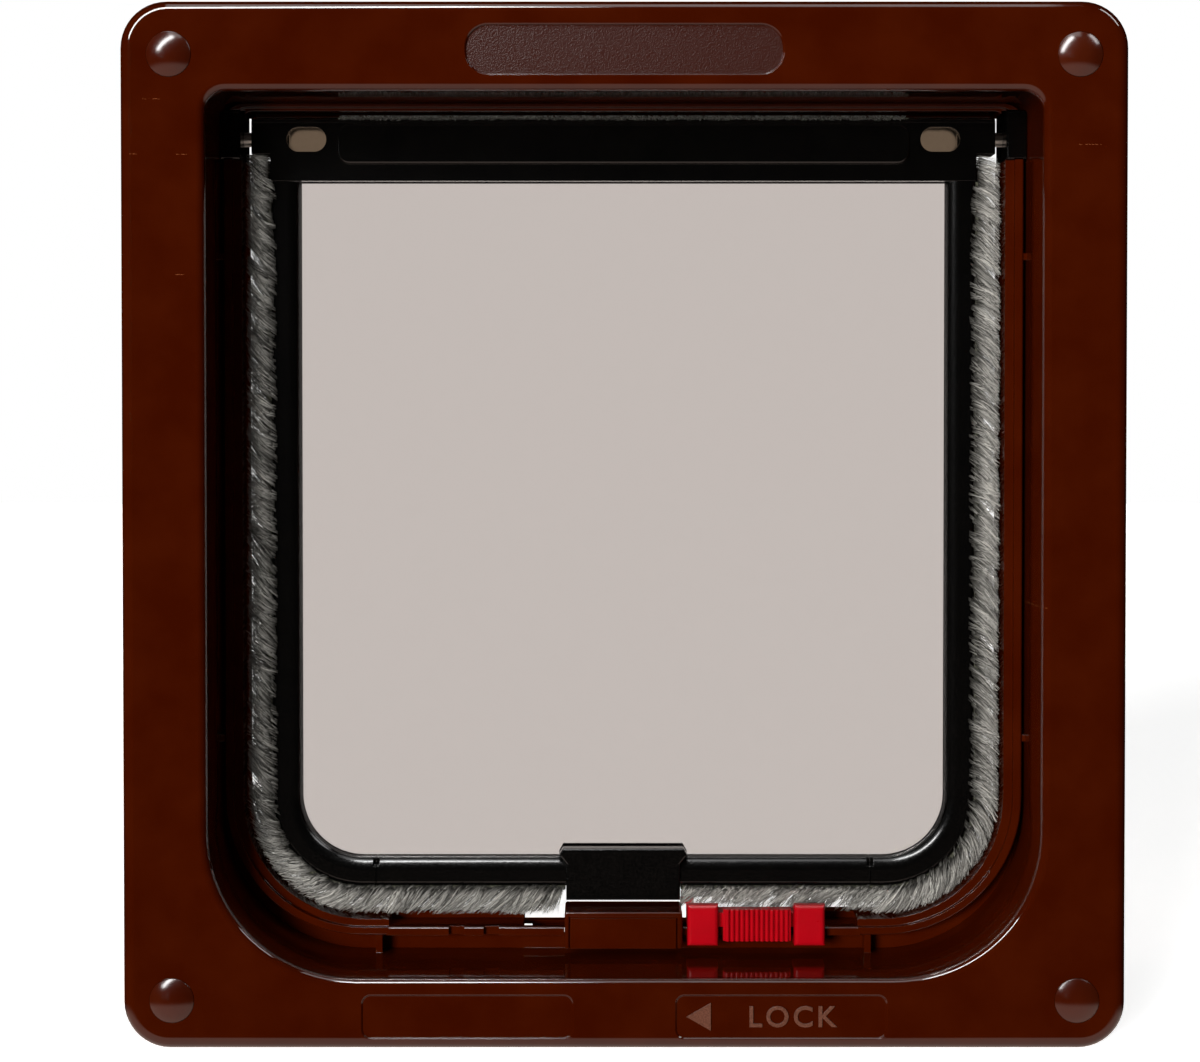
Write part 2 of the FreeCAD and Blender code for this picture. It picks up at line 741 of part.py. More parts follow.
def sill_magnet():
    back = cover_back - cover_wall - sill_magnet_back_gap
    return box(-sill_magnet_half, sill_magnet_half, back - sill_magnet_width, back,
               sill_top + magnet_seat, cover_high - cover_wall - magnet_fit)


def flap_magnet():
    low = housing_low + magnet_floor + magnet_seat
    return box(-magnet_half, magnet_half, pivot_depth - magnet_width / 2,
               pivot_depth + magnet_width / 2, low, low + magnet_height)


def lock_catch():
    # Two blocks and a ribbed grip on one web that laps over the rail, with hooks under it
    plate_back = recess_depth - slide_gap
    web_high = sill_top + catch_web_rise
    web = box(catch_left, catch_right, plate_back - fuse_lap, catch_web_back,
              sill_top + slide_gap, web_high)
    parts = []
    for left in (catch_left, catch_right_block):
        block = box(left, left + catch_block, catch_front, plate_back, catch_low, catch_high)
        parts.append(block.makeFillet(catch_round, edges_at(block, catch_front)))
        for low, high in ((catch_low, ring_low - slide_gap),
                          (web_high - fuse_lap, catch_high - catch_round)):
            parts.append(box(left, left + catch_block, plate_back - fuse_lap, slot_front, low, high))
    grip_low = ring_low - grip_drop
    grip_high = sill_top + grip_rise
    parts.append(box(catch_grip_left, catch_grip_left + catch_grip, catch_front + grip_rib_depth,
                     plate_back, grip_low, grip_high))
    rib_count = int(catch_grip / grip_rib_pitch)
    first = catch_grip_left + (catch_grip - (rib_count - 1) * grip_rib_pitch) / 2
    for number in range(rib_count):
        foot = at(first + number * grip_rib_pitch, catch_front + grip_rib_radius, grip_low)
        parts.append(Part.makeCylinder(grip_rib_radius, grip_high - grip_low, foot))
    stem_low = sill_top + peg_stem_rise
    stem_right = peg_stem_left + peg_width
    parts.append(box(peg_stem_left, stem_right, catch_web_back - fuse_lap, peg_back, stem_low, web_high))
    parts.append(box(peg_stem_left, stem_right, peg_front, peg_back, stem_low, peg_high))
    parts.append(box(peg_left, peg_stem_left + fuse_lap, peg_front, peg_back,
                     peg_high - peg_height, peg_high))
    return web.fuse(parts).removeSplitter()


def trimmed_right_pile():
    # On the right the pile stops short where the catch and its peg pass under it
    shape = mirrored(pile(-housing_half - pile_gap))
    reach = unlock_travel + pile_gap
    front = pivot_depth - housing_thickness
    back = pivot_depth + housing_thickness
    shape = shape.cut(box(0, catch_right + reach, front, back, 0, catch_high + pile_gap))
    return shape.cut(box(0, peg_stem_left + peg_width + reach, front, back, 0, rim_low))


def top_strip():
    return box(-bar_panel_half, bar_panel_half, pivot_depth - top_strip_width / 2,
               pivot_depth + top_strip_width / 2, bar_high, bar_high + top_strip_thickness)


def top_pile():
    return box(-bar_panel_half, bar_panel_half, pivot_depth - top_pile_width / 2,
               pivot_depth + top_pile_width / 2, bar_high + top_strip_thickness,
               tunnel[2] + ceiling_relief - top_pile_gap)


def write(name, shape):
    solids = shape.Solids
    print("%-28s solids %d valid %s volume %.1f" % (name, len(solids), shape.isValid(), shape.Volume))
    shape.exportStep("parts/" + name + ".step")


os.makedirs("parts", exist_ok=True)
write("inner_frame", inner_frame())
write("outer_frame", outer_frame())
for name, (x, z) in zip(("bottom_left", "bottom_right", "top_left", "top_right"), screw_places):
    write("screw_cap_" + name, screw_cap(x, z))
write("fixing_screws", fixing_screws())
write("frame_magnet_cover", magnet_cover())
write("frame_magnet", sill_magnet())
write("lock_catch", lock_catch())
write("pivot_block_left", pivot_block())
write("pivot_block_right", mirrored(pivot_block()))
write("flap_panel", panel_solid(0.0))
write("flap_hinge_bar", hinge_bar())
write("hinge_pin_left", hinge_pin())
write("hinge_pin_right", mirrored(hinge_pin()))
write("flap_rim_left", rim_left())
write("flap_rim_right", mirrored(rim_left()))
write("flap_rim_bottom", rim_bottom())
write("magnet_housing_front", housing_front())
write("magnet_housing_back", housing_back())
write("flap_magnet", flap_magnet())
write("seal_strip_left", seal_strip(-housing_half - butt_gap))
write("seal_strip_right", mirrored(seal_strip(-housing_half - butt_gap)))
write("pile_left", pile(-housing_half - pile_gap))
write("pile_right", trimmed_right_pile())
write("seal_strip_top", top_strip())
write("pile_top", top_pile())
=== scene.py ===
import bpy
import bmesh
import math
import random
from mathutils import Matrix, Vector


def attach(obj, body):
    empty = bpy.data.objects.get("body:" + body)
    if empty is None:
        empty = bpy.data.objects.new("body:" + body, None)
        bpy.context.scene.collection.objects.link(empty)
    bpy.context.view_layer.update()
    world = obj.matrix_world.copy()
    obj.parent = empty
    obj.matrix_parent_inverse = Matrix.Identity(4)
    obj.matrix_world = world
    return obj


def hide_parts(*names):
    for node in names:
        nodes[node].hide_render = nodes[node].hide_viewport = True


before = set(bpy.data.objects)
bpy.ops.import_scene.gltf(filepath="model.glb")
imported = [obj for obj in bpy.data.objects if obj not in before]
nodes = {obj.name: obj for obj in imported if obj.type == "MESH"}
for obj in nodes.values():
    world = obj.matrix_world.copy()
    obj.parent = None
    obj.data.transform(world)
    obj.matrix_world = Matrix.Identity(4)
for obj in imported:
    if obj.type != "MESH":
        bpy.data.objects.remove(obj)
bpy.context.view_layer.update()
print("loaded", len(nodes), "nodes")

mm = 0.001
frontY = -28.1 * mm   # front face of the frame's flange
pivotY = -0.1 * mm   # middle of the flap's thickness
scene = bpy.context.scene


def linear(hexColour):
    parts = [int(hexColour[i:i + 2], 16) / 255 for i in (1, 3, 5)]
    return tuple(c / 12.92 if c <= 0.04045 else ((c + 0.055) / 1.055) ** 2.4 for c in parts) + (1,)


# Materials

def newTree(name):
    material = bpy.data.materials.new(name)
    material.use_nodes = True
    material.node_tree.nodes.clear()
    return material, material.node_tree


def put(tree, kind, inputs=None, **settings):
    made = tree.nodes.new(kind)
    for key, value in settings.items():
        setattr(made, key, value)
    for key, value in (inputs or {}).items():
        if isinstance(value, bpy.types.NodeSocket):
            tree.links.new(value, made.inputs[key])
        else:
            made.inputs[key].default_value = value
    return made


def ramp(tree, fac, stops):
    made = put(tree, "ShaderNodeValToRGB", {"Fac": fac})
    elements = made.color_ramp.elements
    while len(elements) < len(stops):
        elements.new(0.5)
    for element, (place, colour) in zip(elements, stops):
        element.position = place
        element.color = colour if isinstance(colour, tuple) else (colour, colour, colour, 1)
    return made.outputs["Color"]


def maths(tree, operation, a, b=0.0, c=0.0):
    return put(tree, "ShaderNodeMath", {0: a, 1: b, 2: c}, operation=operation).outputs[0]


def mixed(tree, factor, a, b):
    return put(tree, "ShaderNodeMix", {0: factor, 6: a, 7: b}, data_type="RGBA").outputs[2]


def blendValue(tree, factor, a, b):
    return put(tree, "ShaderNodeMix", {0: factor, 2: a, 3: b}, data_type="FLOAT").outputs[0]


def noise(tree, vector, grain, detail=3.0, rough=0.5):
    # grain is the size of its patches in millimetres
    return put(tree, "ShaderNodeTexNoise", {"Vector": vector, "Scale": 1 / (grain * mm), "Detail": detail,
                                            "Roughness": rough}).outputs[0]


def edgeShine(tree, radius):
    # rounds the sharp edges in the shading alone, so that they catch a line of light
    return put(tree, "ShaderNodeBevel", {"Radius": radius * mm}, samples=6).outputs[0]


def bump(tree, height, depth, strength=1.0, under=None):
    inputs = {"Height": height, "Distance": depth * mm, "Strength": strength}
    if under is not None:
        inputs["Normal"] = under
    return put(tree, "ShaderNodeBump", inputs).outputs["Normal"]


def finishMaterial(tree, shader):
    put(tree, "ShaderNodeOutputMaterial", {"Surface": shader})


def roundedBox(tree, vector, centre, half, corner):
    # one inside a rounded rectangle of the front face, nought outside
    split = put(tree, "ShaderNodeSeparateXYZ", {0: vector})
    terms = []
    for axis, middle, reach in (("X", centre[0], half[0]), ("Z", centre[1], half[1])):
        away = maths(tree, "ABSOLUTE", maths(tree, "SUBTRACT", split.outputs[axis], middle * mm))
        terms.append(maths(tree, "MAXIMUM", maths(tree, "SUBTRACT", away, (reach - corner) * mm), 0.0))
    squares = [maths(tree, "MULTIPLY", term, term) for term in terms]
    gap = maths(tree, "SQRT", maths(tree, "ADD", squares[0], squares[1]))
    return maths(tree, "LESS_THAN", gap, corner * mm)


scratches = ((-110.2, 222.9, 2.2), (-114.6, 210.1, 0.9), (-103.4, 210.0, 1.3), (-103.8, 182.0, 1.0),
             (108.6, 212.3, 2.6), (98.5, 104.0, 0.6))   # x, height and half length

brown = {"colour": "#451100", "warm": "#4C1603", "dark": "#3C0B00", "plateColour": "#3A1003",
         "scratch": "#8A4A2C", "roughLow": 0.04, "roughHigh": 0.09, "plateRough": 0.34, "peel": 0.003,
         "pebble": 0.34, "grain": 0.07, "edge": 0.25}
caps = dict(brown, roughLow=0.15, roughHigh=0.24, colour="#4A1604", warm="#55200C")
plate = {"centre": (0, 234.5), "half": (36.9, 5.6), "corner": 5.1, "faceY": -27.2}


def brownPlastic(name, settings):
    # injection moulded ABS: the even red-brown with a faint orange peel, softer in gloss on the caps
    material, tree = newTree(name)
    place = put(tree, "ShaderNodeTexCoord").outputs["Object"]
    clouds = noise(tree, place, 14.0, 4.0)
    fine = noise(tree, place, 1.1, 3.0)
    colour = mixed(tree, ramp(tree, clouds, [(0.35, 0.0), (0.65, 1.0)]), linear(settings["dark"]),
                   linear(settings["warm"]))
    colour = mixed(tree, 0.5, colour, linear(settings["colour"]))
    onPlate = roundedBox(tree, place, plate["centre"], plate["half"], plate["corner"])
    geometry = put(tree, "ShaderNodeNewGeometry")
    facing = put(tree, "ShaderNodeSeparateXYZ", {0: geometry.outputs["Normal"]}).outputs["Y"]
    onPlate = maths(tree, "MULTIPLY", onPlate, maths(tree, "LESS_THAN", facing, -0.9))   # front faces alone
    depth = put(tree, "ShaderNodeSeparateXYZ", {0: place}).outputs["Y"]
    onPlate = maths(tree, "MULTIPLY", onPlate, maths(tree, "LESS_THAN", depth, plate["faceY"] * mm))
    pebbles = put(tree, "ShaderNodeTexVoronoi", {"Vector": place, "Scale": 1 / (settings["pebble"] * mm)})
    colour = mixed(tree, onPlate, colour, linear(settings["plateColour"]))
    broken = maths(tree, "GREATER_THAN", noise(tree, place, 0.6, 2.0), 0.47)
    for x, z, half in scratches:
        mark = roundedBox(tree, place, (x, z), (half, 0.08), 0.07)
        colour = mixed(tree, maths(tree, "MULTIPLY", mark, broken), colour, linear(settings["scratch"]))
    rough = blendValue(tree, fine, settings["roughLow"], settings["roughHigh"])
    rough = blendValue(tree, onPlate, rough, settings["plateRough"])
    peel = bump(tree, noise(tree, place, 2.6, 2.0), settings["peel"], 1.0, edgeShine(tree, settings["edge"]))
    pebbled = maths(tree, "MULTIPLY", pebbles.outputs["Distance"], onPlate)
    grain = bump(tree, pebbled, settings["grain"], 1.0, peel)
    shader = put(tree, "ShaderNodeBsdfPrincipled", {"Base Color": colour, "Roughness": rough,
                                                    "IOR": 1.5, "Normal": grain})
    finishMaterial(tree, shader.outputs[0])
    return material


black = {"colour": "#020202", "grey": "#080706", "roughLow": 0.15, "roughHigh": 0.27, "peel": 0.013,
         "edge": 0.2}


def blackPlastic():
    # black ABS of the flap: gloss broken by fine flow marks
    material, tree = newTree("glossBlackABS")
    place = put(tree, "ShaderNodeTexCoord").outputs["Object"]
    fine = ramp(tree, noise(tree, place, 0.45, 4.0, 0.6), [(0.35, 0.0), (0.65, 1.0)])
    clouds = noise(tree, place, 6.0, 3.0)
    colour = mixed(tree, clouds, linear(black["colour"]), linear(black["grey"]))
    rough = blendValue(tree, fine, black["roughLow"], black["roughHigh"])
    shader = put(tree, "ShaderNodeBsdfPrincipled", {
        "Base Color": colour, "Roughness": rough, "IOR": 1.5,
        "Normal": bump(tree, noise(tree, place, 0.5, 3.0), black["peel"], 1.0,
                       edgeShine(tree, black["edge"]))})
    finishMaterial(tree, shader.outputs[0])
    return material


red = {"colour": "#CC0016", "deep": "#B2000F", "rough": 0.3, "peel": 0.006, "edge": 0.2}


def redPlastic():
    # acetal of the slide: saturated red, satin gloss
    material, tree = newTree("satinRedAcetal")
    place = put(tree, "ShaderNodeTexCoord").outputs["Object"]
    clouds = noise(tree, place, 5.0, 3.0)
    colour = mixed(tree, clouds, linear(red["deep"]), linear(red["colour"]))
    rough = blendValue(tree, noise(tree, place, 0.6), red["rough"] - 0.08, red["rough"] + 0.1)
    shader = put(tree, "ShaderNodeBsdfPrincipled", {
        "Base Color": colour, "Roughness": rough, "IOR": 1.48, "Subsurface Weight": 0.05,
        "Subsurface Radius": (0.001, 0.0003, 0.0002),
        "Normal": bump(tree, noise(tree, place, 1.3), red["peel"], 1.0, edgeShine(tree, red["edge"]))})
    finishMaterial(tree, shader.outputs[0])
    return material


clear = {"tint": "#C7BEB9", "rough": 0.0, "scuff": 0.03, "peel": 0.0012, "matt": "#6E5D4C",
         "mattLow": "#625243", "mattRough": 0.3, "mattX": 77.4, "mattZ": 216.7, "mattHalf": (6.2, 4.4),
         "mattCorner": 4.0}   # the matt patches lie behind the bar's oval windows


def smokedClear():
    # clear styrene with a light smoke tint: dims the white behind it to a warm grey
    material, tree = newTree("smokedStyrene")
    place = put(tree, "ShaderNodeTexCoord").outputs["Object"]
    rough = blendValue(tree, noise(tree, place, 9.0, 5.0), clear["rough"], clear["scuff"])
    sheet = put(tree, "ShaderNodeBsdfPrincipled", {
        "Base Color": linear(clear["tint"]), "Roughness": rough, "IOR": 1.57,
        "Transmission Weight": 1.0, "Normal": bump(tree, noise(tree, place, 24.0, 1.0), clear["peel"])})
    patches = [roundedBox(tree, place, (side * clear["mattX"], clear["mattZ"]), clear["mattHalf"],
                          clear["mattCorner"]) for side in (-1, 1)]
    cloud = noise(tree, place, 1.2, 3.0)
    matt = put(tree, "ShaderNodeBsdfPrincipled", {
        "Base Color": mixed(tree, cloud, linear(clear["mattLow"]), linear(clear["matt"])), "IOR": 1.57,
        "Roughness": clear["mattRough"], "Transmission Weight": 1.0, "Normal": bump(tree, cloud, 0.02)})
    both = put(tree, "ShaderNodeMixShader", {0: maths(tree, "MAXIMUM", patches[0], patches[1]),
                                             1: sheet.outputs[0], 2: matt.outputs[0]})
    finishMaterial(tree, both.outputs[0])
    return material


# root is a painted shade colour for the fibres' feet, where the tufts shade one another
fibre = {"pale": "#F4F0E6", "dark": "#24221E", "root": "#1E1C18", "rough": 0.65}


def pileFibre():
    # polypropylene pile: dull grey fibres in tufts, each a little lighter or darker than the next, with
    # painted shade darkening every fibre towards its root
    material, tree = newTree("greyPileFibre")
    place = put(tree, "ShaderNodeTexCoord").outputs["Object"]
    island = put(tree, "ShaderNodeNewGeometry").outputs["Random Per Island"]
    shade = put(tree, "ShaderNodeAttribute", attribute_name="shade").outputs["Fac"]
    rise = put(tree, "ShaderNodeAttribute", attribute_name="rise").outputs["Fac"]
    share = maths(tree, "MULTIPLY_ADD", island, 0.75, maths(tree, "MULTIPLY", shade, 0.25))
    share = maths(tree, "POWER", share, 1.4)
    colour = mixed(tree, share, linear(fibre["dark"]), linear(fibre["pale"]))
    # painted shade: the colour falls to the root colour near the foot of each fibre, in place of the shade
    # between crowded tufts
    colour = mixed(tree, ramp(tree, rise, [(0.0, 0.0), (0.45, 1.0)]), linear(fibre["root"]), colour)
    shader = put(tree, "ShaderNodeBsdfPrincipled", {
        "Base Color": colour, "Roughness": fibre["rough"], "IOR": 1.49, "Specular IOR Level": 0.25,
        "Normal": bump(tree, noise(tree, place, 0.15), 0.01)})
    finishMaterial(tree, shader.outputs[0])
    return material


backing = {"colour": "#45453A", "light": "#5E5D4E", "weave": 0.5, "depth": 0.08}


def stripBacking():
    # woven olive tape that holds the pile
    material, tree = newTree("wovenOliveTape")
    place = put(tree, "ShaderNodeTexCoord").outputs["Object"]
    threads = put(tree, "ShaderNodeTexWave", {"Vector": place, "Scale": 0.3 / (backing["weave"] * mm),
                                              "Distortion": 1.5}, bands_direction="DIAGONAL").outputs[1]
    colour = mixed(tree, threads, linear(backing["colour"]), linear(backing["light"]))
    rough = blendValue(tree, noise(tree, place, 0.8), 0.6, 0.85)
    shader = put(tree, "ShaderNodeBsdfPrincipled", {
        "Base Color": colour, "Roughness": rough, "Normal": bump(tree, threads, backing["depth"], 0.6)})
    finishMaterial(tree, shader.outputs[0])
    return material


steel = {"colour": "#B7B8B4", "dull": "#8E8F8B", "roughLow": 0.25, "roughHigh": 0.45}


def zincSteel():
    # zinc plated steel: pale metal with faint cloudy patches
    material, tree = newTree("zincPlatedSteel")
    place = put(tree, "ShaderNodeTexCoord").outputs["Object"]
    clouds = noise(tree, place, 1.8, 4.0)
    colour = mixed(tree, clouds, linear(steel["dull"]), linear(steel["colour"]))
    rough = blendValue(tree, clouds, steel["roughLow"], steel["roughHigh"])
    shader = put(tree, "ShaderNodeBsdfPrincipled", {
        "Base Color": colour, "Metallic": 1.0, "Roughness": rough,
        "Normal": bump(tree, noise(tree, place, 0.3), 0.01)})
    finishMaterial(tree, shader.outputs[0])
    return material


ferrite = {"colour": "#3A3A3C", "light": "#4B4B4E"}


def ferriteMagnet():
    # sintered ferrite: dull charcoal with a fine sandy grain
    material, tree = newTree("sinteredFerrite")
    place = put(tree, "ShaderNodeTexCoord").outputs["Object"]
    grain = noise(tree, place, 0.25, 4.0)
    colour = mixed(tree, grain, linear(ferrite["colour"]), linear(ferrite["light"]))
    rough = blendValue(tree, grain, 0.6, 0.8)
    shader = put(tree, "ShaderNodeBsdfPrincipled", {
        "Base Color": colour, "Roughness": rough, "Normal": bump(tree, grain, 0.03)})
    finishMaterial(tree, shader.outputs[0])
    return material


mattBrown = {"low": "#59301F", "high": "#7D4C39"}


def mattBrownPlastic():
    # the same plastic where the tool was spark textured: paler, as it scatters the light
    material, tree = newTree("texturedBrownABS")
    place = put(tree, "ShaderNodeTexCoord").outputs["Object"]
    grain = noise(tree, place, 0.3, 4.0, 0.6)
    colour = mixed(tree, ramp(tree, grain, [(0.35, 0.0), (0.65, 1.0)]), linear(mattBrown["low"]),
                   linear(mattBrown["high"]))
    rough = blendValue(tree, grain, 0.4, 0.6)
    shader = put(tree, "ShaderNodeBsdfPrincipled", {
        "Base Color": colour, "Roughness": rough, "IOR": 1.5,
        "Normal": bump(tree, grain, 0.04, 1.0, edgeShine(tree, 0.12))})
    finishMaterial(tree, shader.outputs[0])
    return material


materials = {"mattBrown": mattBrownPlastic(), "brown": brownPlastic("glossBrownABS", brown),
             "caps": brownPlastic("capBrownABS", caps), "black": blackPlastic(), "red": redPlastic(),
             "clear": smokedClear(), "pile": pileFibre(), "tape": stripBacking(), "steel": zincSteel(),
             "ferrite": ferriteMagnet()}
nodeMaterials = {
    "brown": ["inner_frame", "outer_frame", "frame_magnet_cover"],
    "caps": ["screw_cap_bottom_left", "screw_cap_bottom_right", "screw_cap_top_left",
             "screw_cap_top_right"],
    "black": ["pivot_block_left", "pivot_block_right", "flap_hinge_bar", "flap_rim_left",
              "flap_rim_right", "flap_rim_bottom", "magnet_housing_front", "magnet_housing_back"],
    "red": ["lock_catch"],
    "clear": ["flap_panel"],
    "tape": ["seal_strip_left", "seal_strip_right", "seal_strip_top"],
    "pile": ["pile_left", "pile_right", "pile_top"],
    "steel": ["hinge_pin_left", "hinge_pin_right", "fixing_screws"],
    "ferrite": ["frame_magnet", "flap_magnet"],
}
for key, names in nodeMaterials.items():
    for name in names:
        nodes[name].data.materials.clear()
        nodes[name].data.materials.append(materials[key])
print("materials set")


# Helpers for new pieces

def pieceFrom(bm, name, body, materialKey, smoothAngle=None):
    bmesh.ops.recalc_face_normals(bm, faces=bm.faces)
    mesh = bpy.data.meshes.new(name)
    bm.to_mesh(mesh)
    bm.free()
    mesh.materials.append(materials[materialKey])
    made = bpy.data.objects.new(name, mesh)
    scene.collection.objects.link(made)
    if smoothAngle:
        mesh.shade_smooth()
        mesh.set_sharp_from_angle(angle=math.radians(smoothAngle))
    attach(made, body)
    return made


# Pile of the seal: tufts on the tape, laid out flat and then bent round the flap

pile = {"rootX": 87.2, "rootLow": 32.7, "corner": 23.3, "topEnd": 213.0, "endX": 14.2,   # where the tape runs
        "reach": 5.25, "reachLow": 6.1, "lean": 0.68, "clump": 0.28, "pitch": 0.7, "seed": 11,
        "curl": 2.0, "radius": 0.125, "perTuft": 5, "variants": 16, "spread": 0.28,
        "middle": (-1.9, -0.2, 1.6), "edges": (-3.05, -3.05, 3.05), "edgeDrop": 0.75,   # rows across the tape
        "faceY": -3.95, "faceRoots": (0.5, 2.7), "bare": 6.4, "closeBy": 11,
        "catchX": 66.0, "webBack": -1.0, "webReach": 3.6, "blockBack": -2.5, "blockReach": 1.5,
        "pegX": 34.0, "pegFront": -2.35, "pegBack": 2.2}   # room for the lock catch and its peg
fibreLayers = ("rise", "shade")   # how far up the fibre, and how light the tuft is


def fibreCurve(bm, layers, rng, settings, shade):
    # one three sided fibre of height one, bowed along x as it rises
    radius = settings["radius"] * rng.uniform(0.7, 1.35)
    allVerts = bmesh.ops.create_cone(bm, cap_ends=False, segments=3, radius1=radius, radius2=radius * 0.35,
                                     depth=1)["verts"]
    for level in (-0.17, 0.17):
        edges = list({edge for vert in allVerts for edge in vert.link_edges})
        faces = list({face for vert in allVerts for face in vert.link_faces})
        cut = bmesh.ops.bisect_plane(bm, geom=allVerts + edges + faces, plane_co=(0, 0, level),
                                     plane_no=(0, 0, 1))
        allVerts = list({item for item in cut["geom"] + cut["geom_cut"]
                         if isinstance(item, bmesh.types.BMVert)})
    foot = (rng.gauss(0, settings["spread"]), rng.gauss(0, settings["spread"]))
    curl = settings["curl"] * rng.uniform(0.4, 1.5)
    wave = rng.gauss(0, 0.24)
    sway = rng.gauss(0, 0.5)
    tall = rng.uniform(0.84, 1.0)
    for vert in allVerts:
        rise = min(max(vert.co.z + 0.5, 0.0), 1.0)
        ripple = wave * math.sin(rise * 8)
        vert.co = Vector((foot[0] + vert.co.x - curl * rise ** 2 + sway * rise + ripple,
                          foot[1] * (1 - 0.4 * rise) + vert.co.y + ripple * 0.6, tall * rise))
        vert[layers[0]] = rise
        vert[layers[1]] = shade


def tuftVariants(rng, settings):
    variants = []
    for number in range(settings["variants"]):
        bm = bmesh.new()
        layers = [bm.verts.layers.float.new(layer) for layer in fibreLayers]
        for _ in range(settings["perTuft"]):
            fibreCurve(bm, layers, rng, settings, (number + 0.5) / settings["variants"])
        mesh = bpy.data.meshes.new("tuft")
        bm.to_mesh(mesh)
        bm.free()
        variants.append(mesh)
    return variants


def startPile():
    bm = bmesh.new()
    for layer in fibreLayers:
        bm.verts.layers.float.new(layer)
    return bm


def finishPile(bm, name, replaced, variants):
    made = pieceFrom(bm, name, "flap", "pile")
    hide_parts(replaced)
    for mesh in variants:
        bpy.data.meshes.remove(mesh)
    print(name, len(made.data.polygons), "faces")


def addTuft(bm, tuft, place, axis, wide):
    # stands a tuft along its axis, puts it down, and sets the variant back
    lean = Matrix(((wide, 0, axis[0], 0), (0, 1, axis[1], 0), (0, 0, axis[2], 0), (0, 0, 0, 1)))
    move = Matrix.Translation(place) @ lean
    tuft.transform(move)
    bm.from_mesh(tuft)
    tuft.transform(move.inverted())


def roundFlap(point, settings, side):
    # x runs down the side and along the bottom, y across the thickness, z out from the tape
    x, y, z = point
    corner = settings["corner"]
    centreX = settings["rootX"] - corner
    centreZ = settings["rootLow"] + corner
    straight = settings["topEnd"] - centreZ
    arc = corner * math.pi / 2
    lower = min(max((x - straight) / arc, 0.0), 1.0)
    z *= 1 + lower * (settings["reachLow"] / settings["reach"] - 1) if z > 0 else 1 - 0.45 * lower
    if x < straight:
        place = (settings["rootX"] + z, settings["topEnd"] - x)
    elif x < straight + arc:
        angle = (x - straight) / corner
        place = (centreX + (corner + z) * math.cos(angle), centreZ - (corner + z) * math.sin(angle))
    else:
        place = (centreX - (x - straight - arc), settings["rootLow"] - z)
    return Vector((side * place[0] * mm, pivotY + y * mm, place[1] * mm))


def makePile(name, side, replaced, settings, seed):
    rng = random.Random(settings["seed"] + seed)
    variants = tuftVariants(rng, settings)
    centreZ = settings["rootLow"] + settings["corner"]
    turn = settings["topEnd"] - centreZ + settings["corner"] * math.pi / 2
    length = turn + settings["rootX"] - settings["corner"] - settings["endX"]
    forward = side > 0   # both sides lean the same way round the flap, so one leans on along x
    turned = -1 if forward else 1
    bm = startPile()
    clump = 0.0
    for step in range(int(length / settings["pitch"])):
        if step % 3 == 0:
            clump = rng.gauss(0, settings["clump"])   # neighbours bend the same way
        # the left pile is twice as full where it meets the magnet housing
        closing = not forward and step * settings["pitch"] > length - settings["closeBy"]
        for row in (settings["middle"] + settings["edges"]) * (2 if closing else 1):
            x = (step + rng.uniform(0.0, 1.0)) * settings["pitch"]
            y = row + rng.uniform(-0.3, 0.3)
            root = 0.0
            reach = settings["reach"] * (1.0 if closing else rng.uniform(0.88, 1.0))
            splay = rng.uniform(-0.3, 0.3)
            if x < settings["bare"]:   # above the tape's end the tufts start nearer to the bar
                root = -settings["edgeDrop"]
            if abs(row) > 3:   # edge rows start on the tape's side face and cover it
                y = row + rng.uniform(-0.05, 0.1)
                root = -settings["edgeDrop"] * rng.uniform(0.2, 1.0)
                splay = -0.5 * math.copysign(1, row) * rng.uniform(0.2, 1.2)
                if row < 0 and x > settings["bare"] + 1.0:   # in front they spill over the rim's face
                    y = settings["faceY"] + rng.uniform(-0.1, 0.1)
                    root = -rng.uniform(*settings["faceRoots"])
                    splay = rng.uniform(0.2, 0.9)
            worldX = settings["rootX"] - settings["corner"] - (x - turn)
            if forward and worldX < settings["catchX"] and x > turn - 8:
                if worldX < settings["pegX"] and settings["pegFront"] < y < settings["pegBack"]:
                    y = settings["pegFront"] - rng.uniform(0.0, 0.25)
                    splay = 0.0
                if y < settings["blockBack"]:
                    reach = settings["blockReach"]
                elif y < settings["webBack"]:
                    reach = settings["webReach"] * settings["reach"] / settings["reachLow"]
            slope = settings["lean"] * rng.uniform(0.5, 1.5) + clump
            room = min(1.0, 0.2 + min(x, length - x) / settings["reach"])   # stands up at the ends
            axis = (-turned * slope * room * reach, splay, reach - root)
            addTuft(bm, variants[rng.randrange(len(variants))], (x, y, root), axis, turned * room)
    for vert in bm.verts:
        vert.co.x = min(max(vert.co.x, 0.0), length)
        if abs(vert.co.y) < 2.9 and vert.co.x > settings["bare"]:
            vert.co.z = max(vert.co.z, 0.0)
        vert.co = roundFlap(vert.co, settings, side)
    finishPile(bm, name, replaced, variants)


makePile("pile_fibres_left", -1, "pile_left", pile, 0)
makePile("pile_fibres_right", 1, "pile_right", pile, 1)

topPile = dict(pile, curl=0.25, pitch=0.8, spread=0.14, radius=0.07, seed=16, pivotZ=217.0, rootZ=222.2,
               rootHalf=1.6, tipRadius=6.08, fan=46, half=69.5,
               rows=(-1.0, -0.9, -0.6, -0.3, 0.0, 0.35, 0.7, 1.0))


